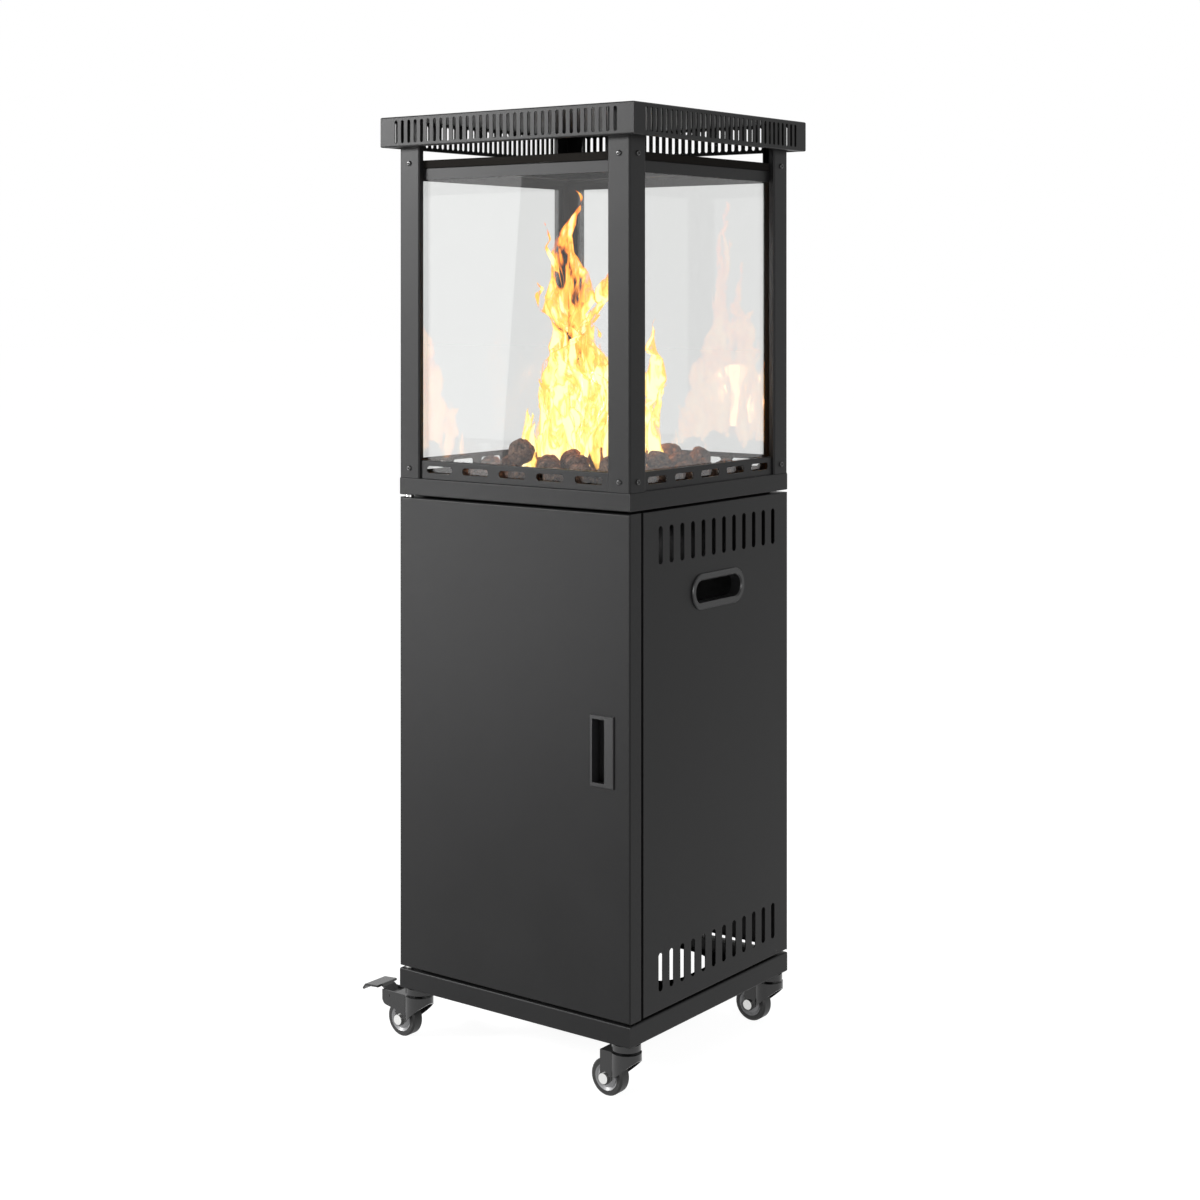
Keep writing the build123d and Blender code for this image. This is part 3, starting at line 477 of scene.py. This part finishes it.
def flame_material():
    material = bpy.data.materials.new("Gas flame")
    material.use_nodes = True
    tree = material.node_tree
    glow = tree.nodes["Principled BSDF"]
    glow.inputs["Base Color"].default_value = (0, 0, 0, 1)
    glow.inputs["Specular IOR Level"].default_value = 0
    glow.inputs["Roughness"].default_value = 1
    glow.inputs["Emission Strength"].default_value = flame_strength
    place = tree.nodes.new("ShaderNodeTexCoord")
    stretch = tree.nodes.new("ShaderNodeMapping")
    stretch.inputs["Scale"].default_value = (1, 1, 0.24)
    streaks = tree.nodes.new("ShaderNodeTexNoise")
    streaks.inputs["Scale"].default_value = 46
    streaks.inputs["Detail"].default_value = 3
    streaks.inputs["Distortion"].default_value = 1.1
    contrast = tree.nodes.new("ShaderNodeMapRange")
    contrast.inputs["From Min"].default_value = 0.34
    contrast.inputs["From Max"].default_value = 0.66
    edge = tree.nodes.new("ShaderNodeLayerWeight")
    edge.inputs["Blend"].default_value = 0.5
    inner = tree.nodes.new("ShaderNodeMath")
    inner.operation = "SUBTRACT"
    inner.inputs[0].default_value = 1
    density = tree.nodes.new("ShaderNodeMath")
    density.operation = "MULTIPLY"
    fade = tree.nodes.new("ShaderNodeMapRange")
    fade.interpolation_type = "SMOOTHSTEP"
    fade.inputs["From Min"].default_value = 0.12
    fade.inputs["From Max"].default_value = 0.42
    fade.inputs["To Max"].default_value = 0.9
    height = tree.nodes.new("ShaderNodeSeparateXYZ")
    rise = tree.nodes.new("ShaderNodeMapRange")
    rise.inputs["From Min"].default_value = burner_top
    rise.inputs["From Max"].default_value = ceiling_under
    rise.inputs["To Min"].default_value = 0.22
    rise.inputs["To Max"].default_value = -0.12
    heat = tree.nodes.new("ShaderNodeMath")
    colour = tree.nodes.new("ShaderNodeValToRGB")
    stops = colour.color_ramp.elements
    stops[0].position, stops[0].color = 0.1, (1.0, 0.12, 0.01, 1)
    stops[1].position, stops[1].color = 0.78, (1.0, 0.86, 0.42, 1)
    stops.new(0.28).color = (1.0, 0.27, 0.02, 1)
    stops.new(0.42).color = (1.0, 0.45, 0.05, 1)
    stops.new(0.58).color = (1.0, 0.66, 0.14, 1)
    link = tree.links.new
    link(place.outputs["Object"], stretch.inputs["Vector"])
    link(stretch.outputs[0], streaks.inputs["Vector"])
    link(edge.outputs["Facing"], inner.inputs[1])
    link(inner.outputs[0], density.inputs[0])
    link(streaks.outputs["Fac"], contrast.inputs["Value"])
    link(contrast.outputs[0], density.inputs[1])
    link(density.outputs[0], fade.inputs["Value"])
    link(place.outputs["Object"], height.inputs[0])
    link(height.outputs["Z"], rise.inputs["Value"])
    link(density.outputs[0], heat.inputs[0])
    link(rise.outputs[0], heat.inputs[1])
    link(heat.outputs[0], colour.inputs["Fac"])
    link(colour.outputs["Color"], glow.inputs["Emission Color"])
    link(fade.outputs[0], glow.inputs["Alpha"])
    mirrored = tree.nodes.new("ShaderNodeEmission")
    mirrored.inputs["Strength"].default_value = mirrored_strength
    warmer = tree.nodes.new("ShaderNodeMix")
    warmer.data_type = "RGBA"
    warmer.blend_type = "MULTIPLY"
    warmer.inputs["Factor"].default_value = 1
    warmer.inputs["B"].default_value = (*mirrored_tint, 1)
    clear = tree.nodes.new("ShaderNodeBsdfTransparent")
    ghost = tree.nodes.new("ShaderNodeMixShader")
    rays = tree.nodes.new("ShaderNodeLightPath")
    choice = tree.nodes.new("ShaderNodeMixShader")
    link(colour.outputs["Color"], warmer.inputs["A"])
    link(warmer.outputs["Result"], mirrored.inputs["Color"])
    link(fade.outputs[0], ghost.inputs["Fac"])
    link(clear.outputs[0], ghost.inputs[1])
    link(mirrored.outputs[0], ghost.inputs[2])
    link(rays.outputs["Is Reflection Ray"], choice.inputs["Fac"])
    link(glow.outputs[0], choice.inputs[1])
    link(ghost.outputs[0], choice.inputs[2])
    link(choice.outputs[0], tree.nodes["Material Output"].inputs["Surface"])
    return material


flame_glow = flame_material()
print("material", flame_glow.name, "cools from", round(burner_top, 3), "to", round(ceiling_under, 3))

# %% [markdown]
# The fire is one tall core with lower licks round it. Each tongue is a ball drawn tall and thin, then
# tapered, twisted and bent with Simple Deform. The big ones are placed by a short list, as seen from the
# camera, so that the outline follows the real fire's. The slim ones are strewn round them by seeded
# chance. At last the whole fire is pushed about by two cloud noises, a wide sway and a small curl, which
# grow from nothing at the bed, so that the tips lick and the feet stay on the burner.

# %% Flame tongues
view_azimuth = math.radians(37.916)
across = Vector((math.cos(view_azimuth), math.sin(view_azimuth), 0))
along = Vector((-math.sin(view_azimuth), math.cos(view_azimuth), 0))


tongue_thickness = 0.5  # of its width
tongue_taper = -1.5
twist_share = 1.2       # of its bend


def flame_tongue(side, deep, foot, tip, width, bend, turn):
    """One lick: side and deep place its foot from the centre line, foot and tip are its heights."""
    nothing_selected()
    bpy.ops.mesh.primitive_uv_sphere_add(segments=18, ring_count=32, radius=0.5)
    tongue = bpy.context.object
    tongue.scale = (width, width * tongue_thickness, tip - foot)
    bpy.ops.object.transform_apply(scale=True)
    apply_modifier(tongue, "SIMPLE_DEFORM", deform_method="TAPER", deform_axis="Z",
                   factor=tongue_taper)
    apply_modifier(tongue, "SIMPLE_DEFORM", deform_method="TWIST", deform_axis="Z",
                   angle=bend * twist_share)
    apply_modifier(tongue, "SIMPLE_DEFORM", deform_method="BEND", deform_axis="Y", angle=bend)
    spot = Vector((axis_x, 0, 0)) + across * side + along * deep
    halfway = Matrix.Translation((spot.x, spot.y, (foot + tip) / 2))
    tongue.matrix_world = halfway @ Matrix.Rotation(turn, 4, "Z")
    return settle(tongue, "tongue")


bed = burner_top + 4 * MM
main_licks = (
    # side, deep, height of the tip above the bed and width in millimetres, bend in radians
    (-30, 8, 400, 44, 0.2),
    (-44, -10, 352, 36, -0.35),
    (-10, 18, 335, 40, -0.3),
    (-66, 10, 270, 28, -0.45),
    (10, -8, 285, 40, 0.35),
    (72, 12, 215, 26, 0.5),
    (-24, -26, 235, 52, 0.25),
    (8, 30, 245, 52, -0.25),
    (84, -12, 120, 24, 0.4),
    (-98, -10, 75, 22, -0.6),
    (44, -30, 150, 38, -0.4),
    (-52, 30, 185, 40, 0.5),
    (-60, -35, 120, 36, -0.3),
)
chance = random.Random(5)
tongues = []
for side, deep, rise, width, bend in main_licks:
    tongues.append(flame_tongue(side * MM, deep * MM, bed, bed + rise * MM, width * MM, bend,
                                view_azimuth + chance.uniform(-0.5, 0.5)))
slim_lick_count = 70
widest_reach = 98      # millimetres from the core, and so are the next five
core_shift = -14
rim_height = 36
core_height = 290
deepest_foot = -14
slim_width = (9, 20)
highest_foot_share = 0.25
drawn_share = 0.85     # of its height, so that the tips end unevenly
for count in range(slim_lick_count):
    angle = chance.uniform(0, 2 * math.pi)
    reach = widest_reach * math.sqrt(chance.random())
    side = math.cos(angle) * reach + core_shift
    deep = math.sin(angle) * reach
    tall = rim_height + core_height * (1 - reach / widest_reach) * chance.uniform(0.5, 1)
    low = chance.uniform(deepest_foot, highest_foot_share * tall)
    tongues.append(flame_tongue(side * MM, deep * MM, bed + low * MM, bed + (low + tall * drawn_share) * MM,
                                chance.uniform(*slim_width) * MM, chance.uniform(-0.8, 0.8),
                                chance.uniform(0, 3)))
flames = join(tongues, "gas_flames")
full_sway_height = 0.16
flame_drift = (
    # texture, width of its waves, how far it pushes
    ("Flame sway", 0.075, 0.09),
    ("Flame curl", 0.026, 0.018),
)
loose = flames.vertex_groups.new(name="loose")
for vertex in flames.data.vertices:
    loose.add([vertex.index], min(1, max(0, (vertex.co.z - bed) / full_sway_height)), "REPLACE")
for label, width, push in flame_drift:
    drift = bpy.data.textures.new(label, "CLOUDS")
    drift.cloud_type = "COLOR"
    drift.noise_scale = width
    apply_modifier(flames, "DISPLACE", texture=drift, strength=push, mid_level=0.5,
                   direction="RGB_TO_XYZ", texture_coords="LOCAL", vertex_group="loose")
flames.vertex_groups.clear()
take(flames)
bpy.ops.object.shade_smooth()
dress(flames, flame_glow)
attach(flames, "heater_frame")
print(len(tongues), "flame tongues, box", [round(value, 3) for value in flames.dimensions])

# %% [markdown]
# A plain studio: one pale floor and a white surround. Both are white only to a ray that comes from the
# camera, a mirror or a pane, so the background is white without more light on the heater. For stray light
# the surround is dim and the floor an ordinary pale grey. The visible floor is a steady glow with a little
# real shading on top, which brings it to white and lets the heater's shadow show.

# %% Studio floor and surround
def seen_directly(tree):
    """A mask that is 1 where the camera, a mirror or a pane looks at the surface, and 0 for stray light."""
    rays = tree.nodes.new("ShaderNodeLightPath")
    mirror = tree.nodes.new("ShaderNodeMath")
    mirror.operation = "MAXIMUM"
    pane = tree.nodes.new("ShaderNodeMath")
    pane.operation = "MAXIMUM"
    tree.links.new(rays.outputs["Is Camera Ray"], mirror.inputs[0])
    tree.links.new(rays.outputs["Is Glossy Ray"], mirror.inputs[1])
    tree.links.new(mirror.outputs[0], pane.inputs[0])
    tree.links.new(rays.outputs["Is Transmission Ray"], pane.inputs[1])
    return pane.outputs[0]


floor_grey = (0.8, 0.8, 0.8)
shadow_grey = (0.24, 0.24, 0.24)
floor_glow = 0.935
stray_surround = 0.28


def floor_material():
    material = bpy.data.materials.new("Studio floor")
    material.use_nodes = True
    tree = material.node_tree
    tree.nodes.remove(tree.nodes["Principled BSDF"])
    plain = tree.nodes.new("ShaderNodeBsdfDiffuse")
    plain.inputs["Color"].default_value = (*floor_grey, 1)
    shaded = tree.nodes.new("ShaderNodeBsdfDiffuse")
    shaded.inputs["Color"].default_value = (*shadow_grey, 1)
    white = tree.nodes.new("ShaderNodeEmission")
    white.inputs["Strength"].default_value = floor_glow
    lifted = tree.nodes.new("ShaderNodeAddShader")
    choice = tree.nodes.new("ShaderNodeMixShader")
    tree.links.new(shaded.outputs[0], lifted.inputs[0])
    tree.links.new(white.outputs[0], lifted.inputs[1])
    tree.links.new(seen_directly(tree), choice.inputs["Fac"])
    tree.links.new(plain.outputs[0], choice.inputs[1])
    tree.links.new(lifted.outputs[0], choice.inputs[2])
    tree.links.new(choice.outputs[0], tree.nodes["Material Output"].inputs["Surface"])
    return material


nothing_selected()
bpy.ops.mesh.primitive_plane_add(size=60, location=(0, 0, 0))
floor = settle(bpy.context.object, "studio_floor")
floor.data.materials.append(floor_material())

world = bpy.data.worlds.new("Studio")
bpy.context.scene.world = world
world.use_nodes = True
surround = world.node_tree
background = surround.nodes["Background"]
background.inputs["Color"].default_value = (1, 1, 1, 1)
strength = surround.nodes.new("ShaderNodeMapRange")
strength.inputs["To Min"].default_value = stray_surround
strength.inputs["To Max"].default_value = 1
surround.links.new(seen_directly(surround), strength.inputs["Value"])
surround.links.new(strength.outputs[0], background.inputs["Strength"])
print("studio:", floor.name, "and world", world.name)


# %% [markdown]
# Satin black shows little but what it mirrors, so each face of the cabinet gets a large soft lamp where it
# looks. The door and the left edges of the posts mirror the left of the room. The panes mirror it too, so
# the bright lamps there stand just above and below what the panes can see, and only a dim card reaches
# between them. One lamp on the right opens up the side panel, and one high above lights the hood and gives
# the shadow on the floor.

# %% Soft lamps
def soft_lamp(name, place, aim, size, power, roll=0.0):
    lamp = bpy.data.lights.new(name, "AREA")
    lamp.shape = "RECTANGLE"
    lamp.size, lamp.size_y = size
    lamp.energy = power
    holder = bpy.data.objects.new(name, lamp)
    bpy.context.scene.collection.objects.link(holder)
    holder.location = place
    aimed = (Vector(aim) - Vector(place)).to_track_quat("-Z", "Y").to_matrix()
    holder.rotation_euler = (aimed @ Matrix.Rotation(roll, 3, "Z")).to_euler()


soft_lamp("Front softbox", (-2.9, -3.2, 1.98), (-0.1, 0, 1.1), (1.5, 0.8), 230)
soft_lamp("Low softbox", (-3.0, -3.2, 0.2), (0, 0, 0.6), (1.6, 0.3), 45)
soft_lamp("Left card", (-3.93, -3.3, 0.95), (0, 0, 0.9), (2.4, 2.2), 20, roll=math.radians(-4))
soft_lamp("Near softbox", (2.9, -2.0, 1.3), (0, 0, 0.75), (0.6, 1.8), 50)
soft_lamp("Top softbox", (0.2, -0.3, 3.6), (0, 0, 0), (3.0, 3.0), 30)
print("watts:", {lamp.name: lamp.energy for lamp in bpy.data.lights if lamp.type == "AREA"})

# %% [markdown]
# Glowing shells light their surroundings only weakly and with much noise. A small warm lamp in the foot of
# the fire gives the stones and posts its glow instead. It is kept out of mirrors, where it would show as a
# ball.

# %% Warm light of the flames
ember_lift = 0.09
ember = bpy.data.lights.new("Flame glow", "POINT")
ember.energy = 8
ember.color = (1, 0.5, 0.2)
ember.shadow_soft_size = 0.05
ember_holder = bpy.data.objects.new("Flame glow", ember)
bpy.context.scene.collection.objects.link(ember_holder)
ember_holder.location = (axis_x, 0, bed + ember_lift)
ember_holder.visible_glossy = False
print("flame glow at height", round(ember_holder.location.z, 3))

# %% [markdown]
# The camera stands at the height of the fire chamber and looks level. The photographer's shift lens keeps
# the posts upright, so the same shift is used here instead of a tilt.

# %% Camera
camera_right = 1.7587
camera_front = 2.4301
eye_height = 1.0653
camera = bpy.data.objects.new("Camera", bpy.data.cameras.new("Camera"))
bpy.context.scene.collection.objects.link(camera)
camera.location = (axis_x + camera_right, -camera_front, eye_height)
camera.rotation_euler = (math.radians(90), 0, view_azimuth)
camera.data.sensor_width = 36
camera.data.lens = 62.32
camera.data.shift_x = 0.0646
camera.data.shift_y = -0.2567
camera.data.clip_end = 100
bpy.context.scene.camera = camera
bpy.context.scene.view_settings.view_transform = "Standard"
print("camera", [round(value, 3) for value in camera.location], "lens", round(camera.data.lens, 2))
